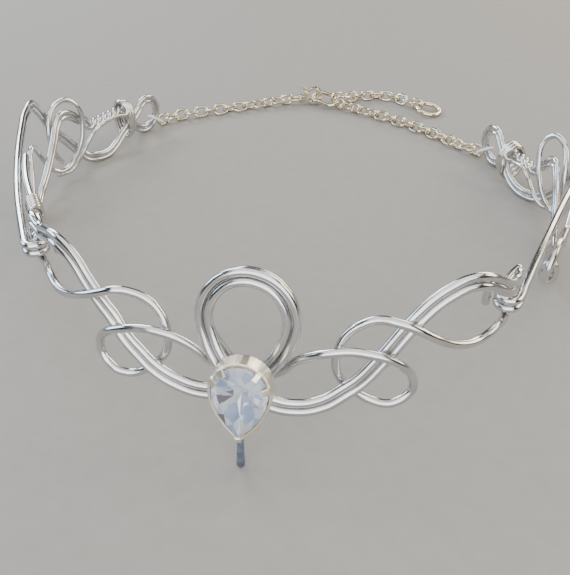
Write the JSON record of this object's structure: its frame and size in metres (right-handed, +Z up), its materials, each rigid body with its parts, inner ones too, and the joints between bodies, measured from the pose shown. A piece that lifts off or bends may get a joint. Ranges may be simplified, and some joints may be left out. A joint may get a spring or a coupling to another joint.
{
  "type": "tiara",
  "caption": "Open wire circlet worn as a tiara, with a pear-shaped stone in front, looped side panels and a chain with a clasp at the back.",
  "frame": {"origin": "middle of the floor under the whole object, between its sides and between the front panel and the chain", "axes": "+Z up, +Y from the front panel with the stone towards the chain at the back, +X to the right seen from the front"},
  "size_m": [0.1636, 0.2046, 0.0413],
  "materials": {
    "wire": "bright drawn wire",
    "binding_wire": "bright drawn wire",
    "setting": "silver plated, polished",
    "stone": "faceted crystal, foiled back",
    "chain": "silver plated, bright",
    "clasp": "silver plated, bright"
  },
  "bodies": {
    "tiara": {"front_wire_upper": "wire", "front_wire_lower": "wire", "front_wire_weave": "wire", "setting": "setting", "stone": "stone", "left_frame_outer": "wire", "left_frame_inner": "wire", "left_flourish": "wire", "left_wrap": "binding_wire", "left_binding": "binding_wire", "right_frame_outer": "wire", "right_frame_inner": "wire", "right_flourish": "wire", "right_wrap": "binding_wire", "right_binding": "binding_wire", "chain_left": "chain", "chain_right": "chain", "chain_tail": "chain", "tail_ring": "chain", "clasp_ring": "chain", "clasp_body": "clasp"},
    "lever": {"clasp_lever": "clasp"}
  },
  "joints": [
    {"name": "clasp_lever_hinge", "type": "hinge", "parent": "tiara", "child": "lever", "pos_m": [-0.00177, 0.0925, 0.00475], "axis": [0, 1, 0], "range_deg": [0, 25], "stiffness_Nm_per_rad": 0.005, "springref_deg": -5.73}
  ]
}
